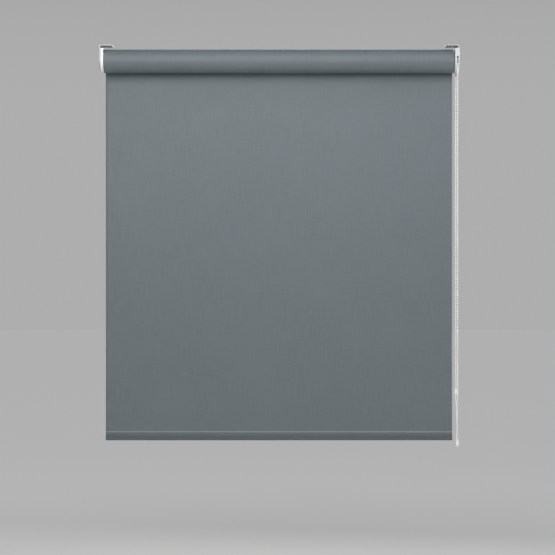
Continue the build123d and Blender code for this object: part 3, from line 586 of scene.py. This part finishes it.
def pocket_side():
    """One side of the pocket's outline, as (depth from its middle, height), from the top edge down."""
    half = HEM_DEPTH / 2
    side = [(CLOTH, WELD_TOP), (CLOTH, WELD_TOP - 0.3 * MM), (CLOTH - PRESS_DEPTH, WELD_TOP - 0.7 * MM)]
    side += [(CLOTH - PRESS_DEPTH, WELD_LOW + 0.7 * MM), (CLOTH, WELD_LOW + 0.2 * MM), (CLOTH, POCKET)]
    for number in range(1, SHOULDER_STEPS + 1):
        share = number / SHOULDER_STEPS
        side.append((CLOTH + (half - CLOTH) * ease(share, 0, 1), POCKET - SHOULDER * share))
    for share in (0.25, 0.5, 0.75, 1.0):
        side.append((half, (POCKET - SHOULDER) * (1 - share) + half * share))
    for turn in range(15, 90, 15):
        side.append((half * cos(radians(turn)), half * (1 - sin(radians(turn)))))
    return side


def inside_of(depth, height):
    """The pocket's inner face behind a point of its outline."""
    apex = POCKET - 0.8 * MM
    if height > apex:
        return INNER_GAP, apex - (WELD_TOP - height) * 0.01
    half = HEM_DEPTH / 2
    narrow = (half - CLOTH) / half * depth if depth < half else depth - CLOTH
    return max(min(narrow, depth - CLOTH * 0.9), INNER_GAP), min(max(height, CLOTH + 0.12 * height), apex)


def make_hem():
    """The pocket: cloth folded round the bar and welded above it, with the weld's faint puckers, painted
    shade on the pocket and a painted highlight along the weld.
    """
    side = pocket_side()
    outline = [(-depth, height) for depth, height in side] + [(0.0, 0.0)] + side[::-1]
    girth = [0.0]
    for before, after in zip(outline, outline[1:]):
        girth.append(girth[-1] + hypot(after[0] - before[0], after[1] - before[1]))
    places_across = stations(WIDTH, 200)
    columns = len(places_across) - 1
    points, uv, rows = [], [], []
    for across in places_across:
        x = LEFT + across
        row = []
        for inner in (False, True):
            for (depth, height), along in zip(outline, girth):
                loose = ease(height, POCKET, POCKET - 7 * MM) * PUCKER
                pucker = loose * noise.noise((x * 26, height * 60, 3.0 if depth < 0 else 9.0))
                near_weld = ease(height, POCKET - SHOULDER, POCKET)
                pucker += WELD_PUCKER * noise.noise((x * 60, 1.0, 2.0)) * near_weld
                if inner:
                    reach, up = inside_of(abs(depth), height)
                    depth_here = reach if depth > 0 else -reach
                    row.append(Vector((x, CLOTH_Y + depth_here, hem_low.z + up)))
                else:
                    out = min(pucker, 0.0) if depth > 0 else max(-pucker, 0.0)
                    row.append(Vector((x, CLOTH_Y + depth + out, hem_low.z + height)))
                uv.append((x, along))
        rows.append(row)
        points.extend(row)
    faces, count, width = [], len(outline), 2 * len(outline)
    for column in range(columns):
        here, after = column * width, (column + 1) * width
        for number in range(count):
            following = (number + 1) % count
            faces.append((here + number, here + following, after + following, after + number))
            inner, beyond = here + count, after + count
            faces.append((inner + number, beyond + number, beyond + following, inner + following))
    last = columns * width
    for number in range(count):
        following = (number + 1) % count
        faces.append((number, count + number, count + following, following))
        end = (last + number, last + following, last + count + following, last + count + number)
        faces.append(end)
    hem = piece("welded_hem", points, faces, POCKET_PAINTED_SHADE, "hem", uv)
    hem.data.materials.append(WELD_PAINTED_HIGHLIGHT)
    # the weld's band above WELD_LOW takes the painted highlight
    for face in hem.data.polygons:
        if face.center.z - hem_low.z > WELD_LOW:
            face.material_index = 1
    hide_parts("hem_pocket")
    return hem


hem = make_hem()

# ---------------------------------------------------------------- spring behind the idle pin
COILS = 7
COIL_STEPS = 24  # round each coil
WIRE_SIDES = 8
WIRE_RADIUS = 0.5 * MM


def make_spring():
    """The spring that pushes the idle pin out."""
    radius = (spring_high.z - spring_low.z) / 2 - WIRE_RADIUS
    start, end = spring_low.x + WIRE_RADIUS, spring_high.x - WIRE_RADIUS
    along = Vector((1, 0, 0))
    rows = []
    for step in range(COILS * COIL_STEPS + 1):
        turn = 2 * pi * step / COIL_STEPS
        outward = Vector((0, cos(turn), sin(turn)))
        centre = Vector((start + (end - start) * step / (COILS * COIL_STEPS), 0, AXIS_Z)) + outward * radius
        angles = [2 * pi * number / WIRE_SIDES for number in range(WIRE_SIDES)]
        rows.append([centre + (outward * cos(angle) + along * sin(angle)) * WIRE_RADIUS for angle in angles])
    points = [point for row in rows for point in row]
    faces = skin(rows)
    faces.append(tuple(range(WIRE_SIDES))[::-1])
    faces.append(tuple(range(len(points) - WIRE_SIDES, len(points))))
    spring = piece("idle_spring_coil", points, faces, SPRING, "roller")
    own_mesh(spring)
    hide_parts("pin_spring")


make_spring()

# ---------------------------------------------------------------- finishes of the CAD pieces
FINISHES = {
    ZINC: ["left_bracket", "right_bracket"],
    HOUSING_WHITE: ["left_bracket_cover"],
    GUARD_PAINTED_SHADE: ["drive_housing", "chain_guard"],
    CLUTCH_BLACK: ["clutch_core", "fabric_spline", "left_bar_cap", "right_bar_cap"],
    SPRING: ["core_clip", "brake_springs", "idle_pin"],
    BEAD_WHITE: ["sprocket", "chain_connector"],
    HIDDEN_GREY: ["drive_crown", "idle_plug", "idle_plug_cap"],
    EXTRUSION: ["tube", "bottom_bar"],
    SAFETY_WHITE: ["tensioner_base", "tensioner_cover"],
}
for finish, names in FINISHES.items():
    for name in names:
        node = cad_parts[name]
        node.data.materials.clear()
        node.data.materials.append(finish)


# ---------------------------------------------------------------- floor, world and lights
def area_light(name, at, look_at, size, power):
    """A white soft light. size is its width and height in metres, and power is in watts."""
    light = bpy.data.lights.new(name, "AREA")
    light.shape = "RECTANGLE"
    light.size, light.size_y = size
    light.energy = power
    holder = bpy.data.objects.new(name, light)
    holder.location = at
    holder.rotation_euler = (Vector(look_at) - Vector(at)).to_track_quat("-Z", "Y").to_euler()
    bpy.context.scene.collection.objects.link(holder)


FLOOR_DROP = 0.9  # below the safety device
FLOOR_REACH = 40.0
PALE, PALER = (0.72, 0.72, 0.71, 1), (0.76, 0.76, 0.75, 1)
HORIZON = (0.42, 0.42, 0.42, 1)  # pale walls all round
OVERHEAD = (0.05, 0.05, 0.05, 1)


def make_floor():
    """A plain pale floor, whose faint glow grows with the distance until it meets the walls' tone."""
    height = CAD_BOX[0][2] - FLOOR_DROP
    corners = [(x * FLOOR_REACH, y * FLOOR_REACH, height) for x, y in ((-1, -1), (1, -1), (1, 1), (-1, 1))]
    mesh = bpy.data.meshes.new("floor")
    mesh.from_pydata(corners, [], [(0, 1, 2, 3)])
    floor = bpy.data.objects.new("floor", mesh)
    bpy.context.scene.collection.objects.link(floor)
    paint = Surface("floor_paint", Roughness=0.9)
    mottle = paint.noise(paint.place(), 0.6, 3)
    spread = paint.node("VectorMath", {0: paint.place()}, operation="LENGTH").outputs["Value"]
    paint.feed(paint.shader.inputs["Emission Color"], (1, 1, 1, 1))
    paint.feed(paint.shader.inputs["Emission Strength"], paint.ramp(spread, 1.0, 7.0, 0.16, 0.36))
    mesh.materials.append(paint.finish(paint.mix(paint.ramp(mottle, 0.3, 0.7, 0, 1), PALE, PALER)))


def make_world():
    """Light from all sides: pale towards the horizon, and dark straight up and down."""
    world = bpy.data.worlds.new("studio")
    world.use_nodes = True
    sky = world.node_tree.nodes
    direction = sky.new("ShaderNodeTexCoord").outputs["Generated"]
    split = sky.new("ShaderNodeSeparateXYZ")
    steep = sky.new("ShaderNodeMath")
    steep.operation = "ABSOLUTE"
    blend = sky.new("ShaderNodeMapRange")
    blend.interpolation_type = "SMOOTHSTEP"
    blend.inputs["From Min"].default_value = 0.10
    blend.inputs["From Max"].default_value = 0.5
    walls = sky.new("ShaderNodeMix")
    walls.data_type = "RGBA"
    walls.inputs[6].default_value = HORIZON
    walls.inputs[7].default_value = OVERHEAD
    for source, target in (
        (direction, split.inputs["Vector"]),
        (split.outputs["Z"], steep.inputs[0]),
        (steep.outputs[0], blend.inputs["Value"]),
        (blend.outputs["Result"], walls.inputs["Factor"]),
        (walls.outputs[2], sky["Background"].inputs["Color"]),
    ):
        world.node_tree.links.new(source, target)
    bpy.context.scene.world = world


make_floor()
make_world()
area_light("key", (-0.3, -2.6, 0.85), (0, 0, -0.10), (2.4, 1.6), 65)
area_light("fill", (0.3, -3.4, 0.2), (0, 0, -0.2), (2.6, 1.0), 5)
area_light("top", (0.0, -1.2, 1.7), (0, 0, -0.7), (2.4, 1.0), 11)
area_light("side", (2.8, -0.4, 0.5), (0.5, 0, -0.5), (1.6, 2.0), 44)
area_light("back", (0.5, 3.0, 0.8), (0, 0, -0.5), (2.5, 1.0), 65)
bpy.context.scene.view_settings.view_transform = "Standard"
